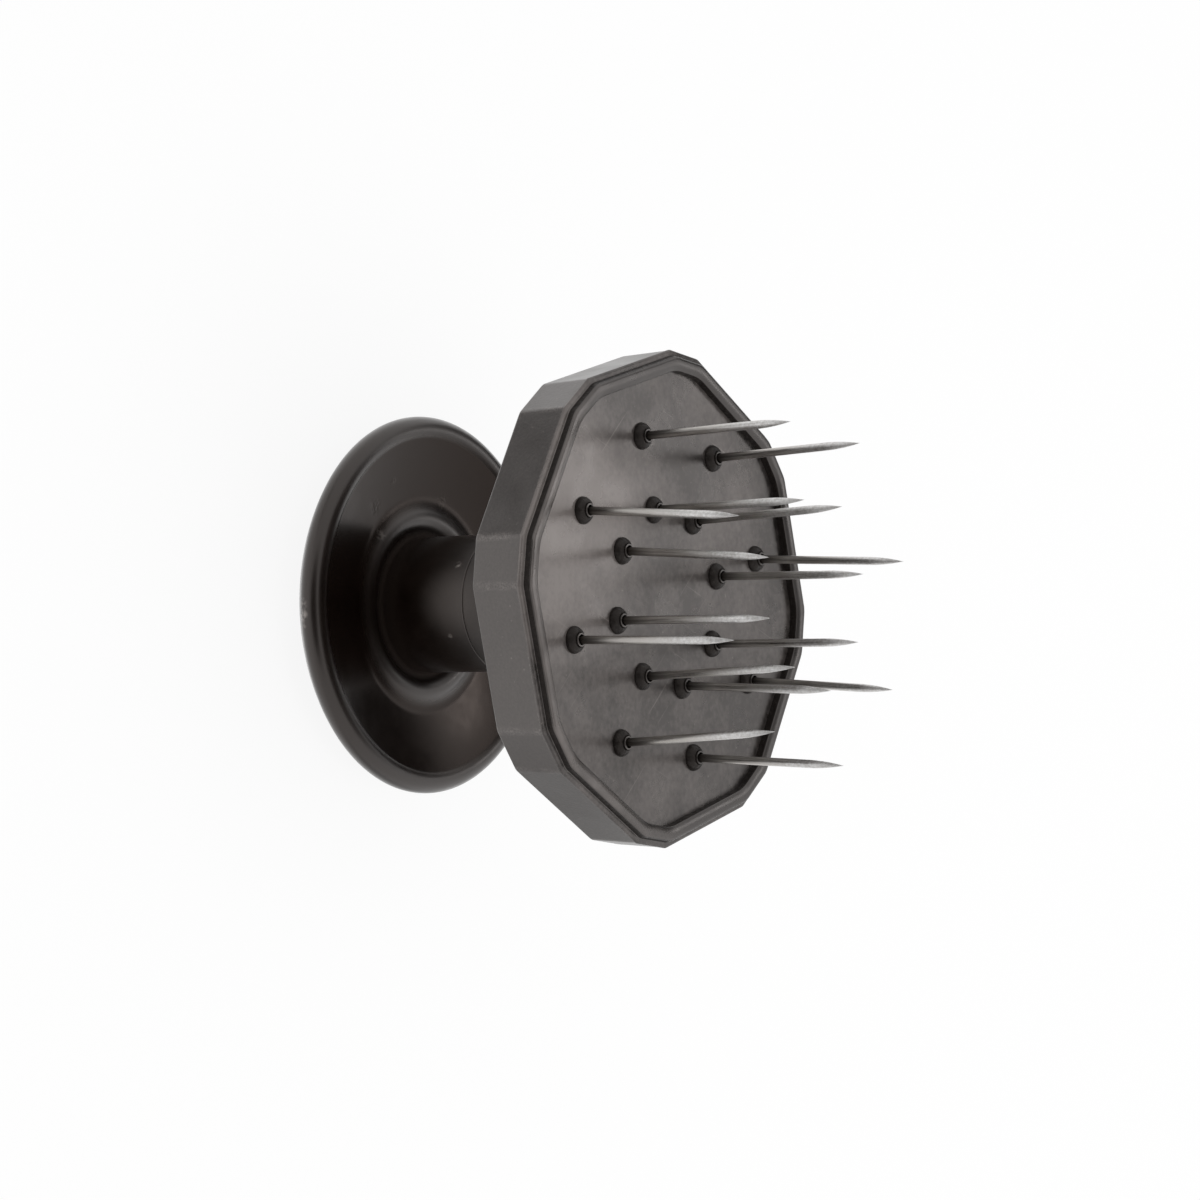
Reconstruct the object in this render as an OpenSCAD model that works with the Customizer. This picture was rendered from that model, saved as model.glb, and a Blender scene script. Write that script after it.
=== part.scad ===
// Sausage pricker: a palm knob, a hollow stem and a cut-corner octagonal head that carries two
// rings of loose steel needles. It stands on its palm face, with the needles up along +Z.

/* [Head] */
// Distance across the flats of the head, at its flange
head_across_flats = 80.8; // [78:0.2:86]
// How much farther out than the flats the cut corners lie
corner_lead = 1.6; // [1:0.1:2.2]
// Plan radius that softens the upright edges
corner_round = 1.5; // [0.6:0.1:3]
// Height of the casing's side wall
casing_depth = 9.5; // [9.4:0.1:12]
// How much the side wall leans in towards its back edge
casing_draft = 0.4; // [0.1:0.1:0.8]
// Thickness of the casing's side wall at its front edge
casing_wall = 2.3; // [1.9:0.1:2.7]
// Thickness of the casing's floor
casing_floor = 2.4; // [2:0.1:2.6]

/* [Needle plate] */
// Thickness of the plate between the needles
plate_t = 2.8; // [2.6:0.1:3.2]
// Thickness of the flange that covers the casing's edge
flange_t = 0.6; // [0.5:0.1:0.9]
// How far the plate lies below the flange's face
plate_sink = 0.3; // [0.1:0.1:0.5]
// Height of the lip above the plate
lip_h = 1.6; // [1.3:0.1:2]
// Step from the flange's edge in to the lip
lip_inset = 1.1; // [0.8:0.1:1.4]
// Width of the flat land on the lip, with its rounded outer edge
land_w = 1; // [0.8:0.1:1.4]
// Width of the slope on the lip inside the land
slope_w = 1.4; // [1:0.1:1.8]
// How far that slope falls before the lip drops to the plate
slope_fall = 0.4; // [0.2:0.05:0.6]
// Plan radius of the plate's corners, inside the lip
plate_round = 9; // [3:0.5:10]
// Diameter of the domed boss round each needle
boss_d = 4.6; // [4.2:0.1:5.5]
// Height of the boss round each needle
boss_h = 1.6; // [1.5:0.1:2]

/* [Needles] */
// Diameter of the outer ring of needles
outer_ring_d = 56; // [52:0.5:58]
// Diameter of the inner ring of needles
inner_ring_d = 30.6; // [28:0.2:34]
// Diameter of a needle's shank
needle_d = 1.4; // [1:0.1:1.5]
// How far the needles stand out of the plate
needle_reach = 30; // [15:1:40]
// Length of a needle's point
point_len = 7; // [4:0.5:9]
// Diameter of a needle's head
needle_head_d = 3.4; // [2.6:0.1:3.5]
// Thickness of a needle's head
needle_head_t = 1; // [0.7:0.1:1]
// Diameter of the hole that a needle stands in
needle_hole_d = 1.8; // [1.8:0.05:2]

/* [Stem] */
// Diameter of the stem
stem_d = 24; // [22:0.5:28]
// Diameter of the stem's bore
stem_bore_d = 17.3; // [15:0.1:18]
// Length of the stem between the seam and the head
stem_len = 24.7; // [18:0.1:35]
// Radius of the fillet where the stem meets the head
stem_fillet = 2; // [1:0.5:4]

/* [Knob] */
// Diameter of the palm knob
knob_d = 66.6; // [62:0.2:75]
// Height of the seam above the palm face
seam_h = 24.5; // [18:0.5:30]
// Diameter of the flat in the middle of the palm face
palm_flat_d = 40; // [30:1:46]
// Radius of the bead round the knob's edge
rim_r = 2.3; // [1.8:0.1:2.6]
// Height of the rim bead's middle above the palm face
rim_h = 7.3; // [7:0.1:7.4]
// How far inside the rim bead's top the dish meets it, in degrees
crease_angle = 37; // [25:1:50]
// Height of the dish above the palm face, under the foot bead
dish_h = 6.2; // [5.8:0.1:6.6]
// Radius of the dish's hollow
dish_r = 90; // [60:5:150]
// Middle diameter of the low bead round the stem's foot
foot_bead_d = 32.4; // [32:0.1:33]
// Height of the foot bead above the dish
foot_bead_h = 1.2; // [1:0.1:1.6]
// Radius of the foot bead's round
foot_bead_r = 2.7; // [2.5:0.1:3.5]
// Radius of the cove outside the foot bead
foot_cove = 2; // [0.5:0.1:3]
// Radius of the valley between the foot bead and the stem
foot_valley = 1.8; // [1.4:0.1:2]

/* [Stem screw] */
// Diameter of the screw's shank
screw_d = 5; // [4:0.5:6]
// Length of the screw under its head
screw_len = 20; // [14:1:24]
// Diameter of the screw's head
screw_head_d = 9.4; // [8:0.2:11]
// Height of the screw's head
screw_head_h = 2.5; // [2:0.1:2.6]
// Outer diameter of the washer
washer_d = 13; // [11:0.5:16]
// Thickness of the washer
washer_t = 1; // [0.6:0.1:1]

/* [Hidden] */
$fn = 64;
arc_steps = 2;
facet_angle = 22.5;
needles_per_ring = 8;
needle_count = 2 * needles_per_ring;

// Clearance between pieces that plug together, and how far joined shapes run into each other
slip = 0.1;
overlap = 1;

// Rounds and chamfers of the moulded edges
seam_chamfer = 0.15;
edge_round = 0.4;
back_edge_r = 0.5;
pocket_fillet = 1;

// Wall at the stem's end that the screw draws against, and the gap between it and the knob's spigot
seat_t = 2.8;
spigot_gap = 0.3;

// Levels above the palm face
casing_back_z = seam_h + stem_len;
casing_front_z = casing_back_z + casing_depth;
floor_z = casing_back_z + casing_floor;
flange_z = casing_front_z + flange_t;
plate_z = flange_z - plate_sink;
plate_back_z = plate_z - plate_t;
land_z = plate_z + lip_h;
bore_end_z = floor_z - seat_t;
spigot_top_z = bore_end_z - spigot_gap;
screw_seat_z = floor_z + washer_t;

// Distances of the head's flats from the axis
flange_a = head_across_flats / 2;
flange_overhang = 0.1;
casing_front_a = flange_a - flange_overhang;
casing_back_a = casing_front_a - casing_draft;
pocket_a = casing_front_a - casing_wall;
land_out_a = flange_a - lip_inset;
land_in_a = land_out_a - land_w;
slope_end_a = land_in_a - slope_w;
lip_draft = 0.1;
plate_a = slope_end_a - lip_draft;

// Skirt of the needle plate, which plugs into the casing
skirt_t = 1.4;
skirt_floor_gap = 1.4;
skirt_lead = 0.4;
skirt_out_a = pocket_a - slip;
skirt_in_a = skirt_out_a - skirt_t;
skirt_end_z = floor_z + skirt_floor_gap;

// Counterbore behind each needle, with room for its head to lean
head_side_gap = 0.4;
head_lift = 0.35;
head_chamfer = 0.2;
counterbore_d = needle_head_d + 2 * head_side_gap;
counterbore_depth = needle_head_t + head_lift;
bearing_rib_w = counterbore_d;

// Inside of the knob: a screw boss with four ribs that plug into the stem's bore
core_step = 0.25;
knob_core_r = stem_bore_d / 2 - core_step;
spigot_r = stem_bore_d / 2 - slip;
spigot_lead = 1;
spigot_rib_t = 2.2;
palm_wall = 4;
screw_boss_d = 9.2;

// Holes for the stem screw
pilot_spare = 1.8;
screw_play = 0.5;
pilot_d = screw_d + slip;
pilot_depth = screw_len - washer_t - seat_t + pilot_spare;
clearance_d = screw_d + screw_play;

// How far each needle leans, in degrees towards +X and +Y, counted round from +X
outer_leans = [[2.5, -0.5], [3, -2.5], [2.5, 0], [-2.5, 0], [-2, -0.5], [4, 1], [2, 3.5], [-3, 2]];
inner_leans = [[2, -1], [0, -1.5], [0.5, -1], [-2.5, 1], [-1, 0.5], [3, -3.5], [0.5, 0.5], [-2, 1.5]];
leans = concat(outer_leans, inner_leans);

knob_colour = "#2e2a28";
casing_colour = "#3f3b39";
plate_colour = "#55514f";
needle_colour = "#a9a7a3";
screw_colour = "#8f9092";

function needle_name(i) = str("needle_", i < 9 ? "0" : "", i + 1);

// Points of an arc of radius r about c, from one angle to another
function arc(c, r, from, to, steps) =
    [for (i = [0 : steps]) let (t = from + (to - from) * i / steps) c + r * [cos(t), sin(t)]];

function spin(p, angle) = [p.x * cos(angle) - p.y * sin(angle), p.x * sin(angle) + p.y * cos(angle)];

function heading(v) = atan2(v.y, v.x);

// Point at distance ra from a and rb from b, on the right of the way from a to b
function meeting(a, ra, b, rb) =
    let (way = b - a, d = norm(way), along = (d * d + ra * ra - rb * rb) / (2 * d))
    a + spin([along, -sqrt(ra * ra - along * along)], heading(way));

// Plan radius at distance a, which grows from the flange's edge in to the plate
function plan_round(a) =
    corner_round + (plate_round - corner_round) * max(0, min(1, (flange_a - a) / (flange_a - plate_a)));

// Plan of the head with its flats at distance a: eight flats, eight cut corners, soft edges
function head_plan(a) = [
    for (m = [0 : 15])
        let (
            r = plan_round(a),
            near = a - r + (m % 2) * corner_lead,
            far = a - r + ((m + 1) % 2) * corner_lead,
            along = (far - near * cos(facet_angle)) / sin(facet_angle)
        )
        for (p = arc([near, along], r, 0, facet_angle, arc_steps)) spin(p, m * facet_angle)
];

// A solid swept round the head's plan from a half section of [flat distance, height] points,
// from the middle of its lower face to the middle of its upper face
module turned_on_plan(section) {
    n = len(head_plan(1));
    last = len(section) - 1;
    points = [for (s = section) for (p = head_plan(s.x)) [p.x, p.y, s.y]];
    lower = [for (j = [0 : n - 1]) j];
    upper = [for (j = [n - 1 : -1 : 0]) last * n + j];
    sides = [
        for (i = [0 : last - 1]) for (j = [0 : n - 1])
            let (k = (j + 1) % n) [i * n + j, (i + 1) * n + j, (i + 1) * n + k, i * n + k]
    ];
    polyhedron(points, concat([lower, upper], sides));
}

// Half section of the knob's turned outside
module knob_section() {
    stem_r = stem_d / 2;
    flat_r = palm_flat_d / 2;
    // Palm face, which curves up into the rim bead
    rim = [knob_d / 2 - rim_r, rim_h];
    reach = rim.x - flat_r;
    palm_r = (reach * reach + rim_h * rim_h - rim_r * rim_r) / (2 * (rim_h - rim_r));
    palm = [flat_r, palm_r];
    // Low bead round the stem's foot, and the valley between it and the stem
    foot = [foot_bead_d / 2, dish_h + foot_bead_h - foot_bead_r];
    valley_x = stem_r + foot_valley;
    valley = [valley_x, foot.y + sqrt(pow(foot_bead_r + foot_valley, 2) - pow(foot.x - valley_x, 2))];
    // Hollow dish from the crease on the rim bead to the cove outside the foot bead
    crease = rim + rim_r * [-sin(crease_angle), cos(crease_angle)];
    dish = meeting(crease, dish_r, [foot.x, dish_h], dish_r);
    cove = meeting(foot, foot_bead_r + foot_cove, dish, dish_r - foot_cove);
    polygon(concat(
        [[0, 0]],
        arc(palm, palm_r, -90, heading(rim - palm), 8),
        arc(rim, rim_r, heading(rim - palm), 90 + crease_angle, 28),
        arc(dish, dish_r, heading(crease - dish), heading(cove - dish), 6),
        arc(cove, foot_cove, heading(cove - dish), heading(foot - cove), 10),
        arc(foot, foot_bead_r, heading(cove - foot), heading(valley - foot), 14),
        arc(valley, foot_valley, heading(foot - valley), -180, 18),
        [
            [stem_r, seam_h - seam_chamfer],
            [stem_r - seam_chamfer, seam_h],
            [0, seam_h]
        ]
    ));
}

// Palm knob: dished disc, stub, and the ribbed screw boss that centres the stem
module palm_knob() {
    boss_z = palm_wall - overlap;
    boss_len = spigot_top_z - boss_z;
    color(knob_colour) difference() {
        union() {
            difference() {
                rotate_extrude() knob_section();
                translate([0, 0, palm_wall]) cylinder(r = knob_core_r, h = seam_h);
            }
            translate([0, 0, boss_z]) cylinder(d = screw_boss_d, h = boss_len);
            intersection() {
                for (turn = [0, 90]) rotate(turn)
                    translate([-spigot_r, -spigot_rib_t / 2, boss_z])
                        cube([2 * spigot_r, spigot_rib_t, boss_len]);
                union() {
                    cylinder(r = spigot_r, h = spigot_top_z - spigot_lead);
                    translate([0, 0, spigot_top_z - spigot_lead])
                        cylinder(r1 = spigot_r, r2 = spigot_r - spigot_lead, h = spigot_lead);
                }
            }
        }
        translate([0, 0, spigot_top_z - pilot_depth]) cylinder(d = pilot_d, h = pilot_depth + overlap);
    }
}

// Octagonal cup with the stem moulded on its back and two rings inside that back up the needles
module head_casing() {
    stem_r = stem_d / 2;
    fillet_z = casing_back_z - stem_fillet;
    cup = concat(
        arc([casing_back_a - back_edge_r, casing_back_z + back_edge_r], back_edge_r, -90, 0, 4),
        [
            [casing_front_a, casing_front_z - seam_chamfer],
            [casing_front_a - seam_chamfer, casing_front_z],
            [pocket_a, casing_front_z]
        ],
        arc([pocket_a - pocket_fillet, floor_z + pocket_fillet], pocket_fillet, 0, -90, 3)
    );
    color(casing_colour) difference() {
        union() {
            turned_on_plan(cup);
            rotate_extrude() {
                polygon([
                    [0, seam_h], [stem_r - seam_chamfer, seam_h], [stem_r, seam_h + seam_chamfer],
                    [stem_r, floor_z - overlap], [0, floor_z - overlap]
                ]);
                difference() {
                    translate([0, fillet_z]) square([stem_r + stem_fillet, stem_fillet + overlap]);
                    translate([stem_r + stem_fillet, fillet_z]) circle(stem_fillet);
                }
            }
            for (ring_d = [inner_ring_d, outer_ring_d]) bearing_ring(ring_d);
        }
        translate([0, 0, seam_h - overlap]) cylinder(d = stem_bore_d, h = bore_end_z - seam_h + overlap);
        translate([0, 0, bore_end_z - overlap]) cylinder(d = clearance_d, h = seat_t + 2 * overlap);
    }
}

// Ring on the casing's floor that the heads of one ring of needles bear on
module bearing_ring(ring_d) {
    h = plate_back_z - floor_z + overlap;
    translate([0, 0, floor_z - overlap]) difference() {
        cylinder(d = ring_d + bearing_rib_w, h = h, $fn = 96);
        translate([0, 0, -overlap]) cylinder(d = ring_d - bearing_rib_w, h = h + 2 * overlap, $fn = 96);
    }
}

// Places its children at every needle of both rings, on the face of the plate
module at_needles() {
    for (i = [0 : needle_count - 1]) translate(needle_foot(i)) children();
}

function needle_foot(i) =
    let (
        r = (i < needles_per_ring ? outer_ring_d : inner_ring_d) / 2,
        angle = (i % needles_per_ring) * 360 / needles_per_ring
    )
    [r * cos(angle), r * sin(angle), plate_z];

// Front moulding: plate with bosses, stepped lip, flange on the casing's edge, and skirt inside it
module needle_carrier() {
    step_lean = 0.15;
    step_cove = 0.15;
    land_round = 0.6;
    inner_round = 0.25;
    slope = atan(slope_fall / slope_w);
    slope_end_z = land_z - slope_fall;
    inner = [slope_end_a + inner_round, slope_end_z - inner_round * (1 - sin(slope)) / cos(slope)];
    front = concat(
        [
            [skirt_in_a, plate_back_z],
            [skirt_in_a, skirt_end_z],
            [skirt_out_a - skirt_lead, skirt_end_z],
            [skirt_out_a, skirt_end_z + skirt_lead],
            [skirt_out_a, casing_front_z],
            [flange_a - seam_chamfer, casing_front_z]
        ],
        arc([flange_a - edge_round, flange_z - edge_round], edge_round, 0, 90, 3),
        [[land_out_a + step_lean + step_cove, flange_z], [land_out_a + step_lean, flange_z + step_cove]],
        arc([land_out_a - land_round, land_z - land_round], land_round, 0, 90, 4),
        [[land_in_a, land_z]],
        arc(inner, inner_round, 90 + slope, 180, 3),
        [[plate_a, plate_z]]
    );
    color(plate_colour) difference() {
        union() {
            turned_on_plan(front);
            at_needles() boss();
        }
        at_needles() needle_seat();
    }
}

// Boss round a needle: low dome with a collar set in a fine groove
module boss() {
    dome_r = 0.7 * boss_d / 2;
    dome_from = 15;
    dome_to = 70;
    foot_h = 0.2;
    collar_t = 0.3;
    collar_draft = 0.05;
    ring_depth = 0.2;
    dome = [boss_d / 2 - dome_r * cos(dome_from), foot_h - dome_r * sin(dome_from)];
    dome_end = dome + dome_r * [cos(dome_to), sin(dome_to)];
    ring_z = dome_end.y - ring_depth;
    collar_r = needle_hole_d / 2 + collar_t;
    rotate_extrude() polygon(concat(
        [[0, -overlap], [boss_d / 2, -overlap]],
        arc(dome, dome_r, dome_from, dome_to, 5),
        [
            [dome_end.x - collar_draft, ring_z], [collar_r, ring_z],
            [collar_r - collar_draft, boss_h], [0, boss_h]
        ]
    ));
}

// Hole for a needle with the counterbore for its head, cut from the back
module needle_seat() {
    translate([0, 0, -plate_t - overlap]) {
        cylinder(d = counterbore_d, h = counterbore_depth + overlap);
        cylinder(d = needle_hole_d, h = plate_t + boss_h + 2 * overlap);
    }
}

// Half width of the needle's point, t of the way from the shank to the tip
function point_r(t) =
    let (r = needle_d / 2, bow = (point_len * point_len + r * r) / (2 * r))
    sqrt(bow * bow - pow(t * point_len, 2)) - bow + r;

// Round nail with a flat head and a long bowed point, which leans in its hole and rests on its head
module needle(i) {
    head_r = needle_head_d / 2;
    length = plate_t + needle_reach;
    lean = acos(cos(leans[i].x) * cos(leans[i].y));
    drop = (plate_t - (head_r - head_chamfer) * sin(lean)) / cos(lean);
    point_step = 0.2;
    point = [for (t = [0 : point_step : 1 - point_step]) [point_r(t), length - point_len * (1 - t)]];
    color(needle_colour) translate(needle_foot(i)) rotate([-leans[i].y, leans[i].x, 0])
        translate([0, 0, -drop]) rotate_extrude($fn = 32) polygon(concat(
            [
                [0, 0], [head_r - head_chamfer, 0], [head_r, head_chamfer],
                [head_r, needle_head_t - head_chamfer], [head_r - head_chamfer, needle_head_t],
                [needle_d / 2, needle_head_t]
            ],
            point,
            [[0, length]]
        ));
}

// Flat washer on the casing's floor, under the screw's head
module screw_washer() {
    color(screw_colour) translate([0, 0, floor_z]) difference() {
        cylinder(d = washer_d, h = washer_t);
        translate([0, 0, -overlap]) cylinder(d = clearance_d, h = washer_t + 2 * overlap);
    }
}

// Self-tapping pan-head screw that draws the stem down onto the knob
module stem_screw() {
    r = screw_d / 2;
    head_r = screw_head_d / 2;
    tip_len = 2;
    tip_r = r / 2;
    slot_w = 1.2;
    slot_len = 5;
    slot_depth = 1.4;
    color(screw_colour) translate([0, 0, screw_seat_z]) difference() {
        rotate_extrude() {
            polygon([
                [0, overlap], [0, -screw_len], [tip_r, -screw_len], [r, tip_len - screw_len], [r, overlap]
            ]);
            intersection() {
                square([head_r, screw_head_h]);
                translate([0, screw_head_h - 2 * head_r]) circle(2 * head_r, $fn = 128);
            }
        }
        for (turn = [0, 90]) rotate(turn)
            translate([-slot_len / 2, -slot_w / 2, screw_head_h - slot_depth])
                cube([slot_len, slot_w, slot_depth + overlap]);
    }
}

palm_knob();
head_casing();
needle_carrier();
screw_washer();
stem_screw();
for (i = [0 : needle_count - 1])
    needle(i);
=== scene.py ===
from math import asin, atan2, cos, degrees, pi, radians, sin, sqrt

import bmesh
import bpy
from mathutils import Matrix, Vector


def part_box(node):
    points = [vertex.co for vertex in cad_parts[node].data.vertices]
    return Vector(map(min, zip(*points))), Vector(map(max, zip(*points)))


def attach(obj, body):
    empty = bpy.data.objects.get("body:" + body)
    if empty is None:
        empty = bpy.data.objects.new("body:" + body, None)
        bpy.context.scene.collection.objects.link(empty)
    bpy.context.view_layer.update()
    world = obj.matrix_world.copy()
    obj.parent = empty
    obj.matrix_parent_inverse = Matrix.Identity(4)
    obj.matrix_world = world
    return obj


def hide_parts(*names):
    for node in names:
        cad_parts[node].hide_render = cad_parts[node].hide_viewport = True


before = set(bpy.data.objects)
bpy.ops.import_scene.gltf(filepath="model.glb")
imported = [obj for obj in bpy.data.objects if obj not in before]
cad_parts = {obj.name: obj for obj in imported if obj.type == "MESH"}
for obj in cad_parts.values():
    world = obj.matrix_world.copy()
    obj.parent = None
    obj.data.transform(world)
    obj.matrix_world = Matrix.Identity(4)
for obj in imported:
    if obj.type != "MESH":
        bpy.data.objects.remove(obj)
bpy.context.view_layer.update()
scene = bpy.context.scene

# Palm knob
# A turned disc with a rolled rim, a hollow dish, a low bead round the neck's foot and the stub of the
# neck, moulded in one piece from brown-black ABS in a polished mould. The stem screw holds the neck on.
MM = 0.001


def linear(colour):
    """An sRGB hex colour as linear RGBA."""
    parts = [int(colour[i:i + 2], 16) / 255 for i in (1, 3, 5)]
    return [c / 12.92 if c <= 0.04045 else ((c + 0.055) / 1.055) ** 2.4 for c in parts] + [1.0]


def per_metre(size_mm):
    """Texture scale at which one cell of a pattern is that many millimetres."""
    return 1 / (size_mm * MM)


def add(tree, kind, inputs=None, **settings):
    """Adds a node with its settings. An input is a value, or the socket that feeds it."""
    made = tree.nodes.new(kind)
    for name, value in settings.items():
        setattr(made, name, value)
    for name, value in (inputs or {}).items():
        if isinstance(value, bpy.types.NodeSocket):
            tree.links.new(value, made.inputs[name])
        else:
            made.inputs[name].default_value = value
    return made


def start_material(name):
    """An empty node material: its tree, and the object's own coordinates in metres."""
    material = bpy.data.materials.new(name)
    material.use_nodes = True
    material.node_tree.nodes.clear()
    coordinates = add(material.node_tree, "ShaderNodeTexCoord").outputs["Object"]
    return material, material.node_tree, coordinates


# Middle of the highlight painted on the neck
neck_highlight_place = Vector((-3.5, -11.5, 22)) * MM
# Marks of the mould and of use: place and reach in millimetres, paleness and relief
knob_marks = [
    ((-8.3, -32.1, 6.7), 1.2, 0.5, 9),
    ((-6.4, -32.5, 6.6), 1.3, 0.9, 9),
    ((-4.6, -32.8, 6.6), 0.9, 0.35, 4),
    ((-20.1, -9.3, 7.2), 2.2, 0.05, -1.5),
    ((-23.4, -3.6, 7.6), 0.9, 0.1, 1),
    ((-16.6, 9.8, 6.7), 1.8, 0.06, 1),
    ((-14.8, -8.9, 7.2), 1.3, 0.2, 5),
    ((2.9, -11.6, 20.6), 0.6, 0.5, 3),
    ((-8.8, -8.1, 22.2), 0.8, 0.5, 2),
]


def polished_abs():
    """ABS from a polished mould: near-black with clear reflections, satin where hands rub it, and a painted
    highlight on one side of the neck.
    """
    material, tree, place = start_material("polished_abs")
    height = add(tree, "ShaderNodeSeparateXYZ", {"Vector": place}).outputs["Z"]
    sideways = add(tree, "ShaderNodeVectorMath", {0: place, 1: (1, 1, 0)}, operation="MULTIPLY")
    radius = add(tree, "ShaderNodeVectorMath", {0: sideways.outputs["Vector"]}, operation="LENGTH")
    # Fingers dull the neck, and the palm and worktops dull the rim
    neck = add(tree, "ShaderNodeMapRange", {
        "Value": height, "From Min": 12 * MM, "From Max": 20 * MM, "To Min": 0.0, "To Max": 1.0,
    })
    rim = add(tree, "ShaderNodeMapRange", {
        "Value": radius.outputs["Value"], "From Min": 29.3 * MM, "From Max": 30.6 * MM,
        "To Min": 0.0, "To Max": 1.0,
    })
    zone_share = add(tree, "ShaderNodeMath", {
        0: neck.outputs["Result"], 1: rim.outputs["Result"],
    }, operation="MAXIMUM")
    # The bead stands proud of the dish, so hands rub it too, but not the valley inside it
    out = add(tree, "ShaderNodeMapRange", {
        "Value": radius.outputs["Value"], "From Min": 16 * MM, "From Max": 18.5 * MM,
        "To Min": 1.0, "To Max": 0.0,
    }, interpolation_type="SMOOTHSTEP")
    crest = add(tree, "ShaderNodeMapRange", {
        "Value": radius.outputs["Value"], "From Min": 13.4 * MM, "From Max": 14.6 * MM,
        "To Min": 0.0, "To Max": 1.0,
    }, interpolation_type="SMOOTHSTEP")
    crest = add(tree, "ShaderNodeMath", {
        0: out.outputs["Result"], 1: crest.outputs["Result"],
    }, operation="MULTIPLY")
    satin = add(tree, "ShaderNodeMath", {
        0: zone_share.outputs["Value"], 1: crest.outputs["Value"],
    }, operation="MAXIMUM")
    matt = add(tree, "ShaderNodeMath", {
        0: zone_share.outputs["Value"], 1: out.outputs["Result"],
    }, operation="MAXIMUM")
    wear = add(tree, "ShaderNodeTexNoise", {"Vector": place, "Scale": per_metre(3), "Detail": 6.0})
    polish = add(tree, "ShaderNodeMapRange", {
        "Value": wear.outputs["Fac"], "From Min": 0.3, "From Max": 0.75, "To Min": 0.17, "To Max": 0.25,
    })
    dulled = add(tree, "ShaderNodeMapRange", {
        "Value": wear.outputs["Fac"], "From Min": 0.3, "From Max": 0.7, "To Min": 0.3, "To Max": 0.4,
    })
    gloss = add(tree, "ShaderNodeMapRange", {
        "Value": matt.outputs["Value"],
        "To Min": polish.outputs["Result"], "To Max": dulled.outputs["Result"],
    })
    # Dirt fills the valley, where no cloth reaches
    deep = add(tree, "ShaderNodeMapRange", {
        "Value": height, "From Min": 8.5 * MM, "From Max": 11 * MM, "To Min": 1.0, "To Max": 0.0,
    })
    valley = add(tree, "ShaderNodeMapRange", {
        "Value": radius.outputs["Value"], "From Min": 13.2 * MM, "From Max": 14.2 * MM,
        "To Min": 1.0, "To Max": 0.0,
    })
    dirt = add(tree, "ShaderNodeMath", {
        0: deep.outputs["Result"], 1: valley.outputs["Result"],
    }, operation="MULTIPLY")
    gloss = add(tree, "ShaderNodeMapRange", {
        "Value": dirt.outputs["Value"], "To Min": gloss.outputs["Result"], "To Max": 0.75,
    })
    body = add(tree, "ShaderNodeMix", {
        "Factor": wear.outputs["Fac"], "A": linear("#0a0503"), "B": linear("#140c08"),
    }, data_type="RGBA")
    # Painted highlight: one side of the neck is painted paler where a highlight falls on it
    neck_highlight = add(tree, "ShaderNodeVectorMath", {0: place, 1: neck_highlight_place}, operation="DISTANCE")
    neck_highlight = add(tree, "ShaderNodeMapRange", {
        "Value": neck_highlight.outputs["Value"], "From Min": 1 * MM, "From Max": 8 * MM,
        "To Min": 1.0, "To Max": 0.0,
    }, interpolation_type="SMOOTHSTEP")
    colour = add(tree, "ShaderNodeMix", {
        "Factor": neck_highlight.outputs["Result"], "A": body.outputs["Result"], "B": linear("#4b4643"),
    }, data_type="RGBA")
    # Grit breaks up the scar of the gate on the rim, the smudges in the dish and the nicks on the neck
    grit = add(tree, "ShaderNodeTexNoise", {"Vector": place, "Scale": per_metre(0.7), "Detail": 4.0})
    grit = add(tree, "ShaderNodeMapRange", {
        "Value": grit.outputs["Fac"], "From Min": 0.42, "From Max": 0.62, "To Min": 0.0, "To Max": 1.0,
    })
    # Flow and shrinkage leave the surface slightly wavy
    relief = add(tree, "ShaderNodeTexNoise", {"Vector": place, "Scale": per_metre(9), "Detail": 2.0})
    relief = relief.outputs["Fac"]
    for spot, reach, paleness, height_share in knob_marks:
        off = add(tree, "ShaderNodeVectorMath", {0: place, 1: Vector(spot) * MM}, operation="DISTANCE")
        inside = add(tree, "ShaderNodeMapRange", {
            "Value": off.outputs["Value"], "From Min": 0.4 * reach * MM, "From Max": reach * MM,
            "To Min": 1.0, "To Max": 0.0,
        })
        mark = add(tree, "ShaderNodeMath", {
            0: inside.outputs["Result"], 1: grit.outputs["Result"],
        }, operation="MULTIPLY")
        share = add(tree, "ShaderNodeMath", {0: mark.outputs["Value"], 1: paleness}, operation="MULTIPLY")
        colour = add(tree, "ShaderNodeMix", {
            "Factor": share.outputs["Value"], "A": colour.outputs["Result"], "B": linear("#a19a95"),
        }, data_type="RGBA")
        relief = add(tree, "ShaderNodeMath", {
            0: mark.outputs["Value"], 1: height_share, 2: relief,
        }, operation="MULTIPLY_ADD").outputs["Value"]
    bump = add(tree, "ShaderNodeBump", {"Height": relief, "Strength": 0.25, "Distance": 0.1 * MM})
    shader = add(tree, "ShaderNodeBsdfPrincipled", {
        "Base Color": colour.outputs["Result"], "Roughness": gloss.outputs["Result"], "IOR": 1.53,
        "Specular IOR Level": 0.33, "Specular Tint": linear("#ffe4d6"),
        "Coat Weight": satin.outputs["Value"], "Coat Roughness": 0.3, "Normal": bump.outputs["Normal"],
    })
    add(tree, "ShaderNodeOutputMaterial", {"Surface": shader.outputs["BSDF"]})
    return material


def bend(x, z, r, start, end, steps=5):
    """Section points of a rounded edge about (x, z), from one angle to the other in degrees."""
    angles = [radians(start + (end - start) * i / steps) for i in range(steps + 1)]
    return [(x + r * cos(t), z + r * sin(t)) for t in angles]


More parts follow.
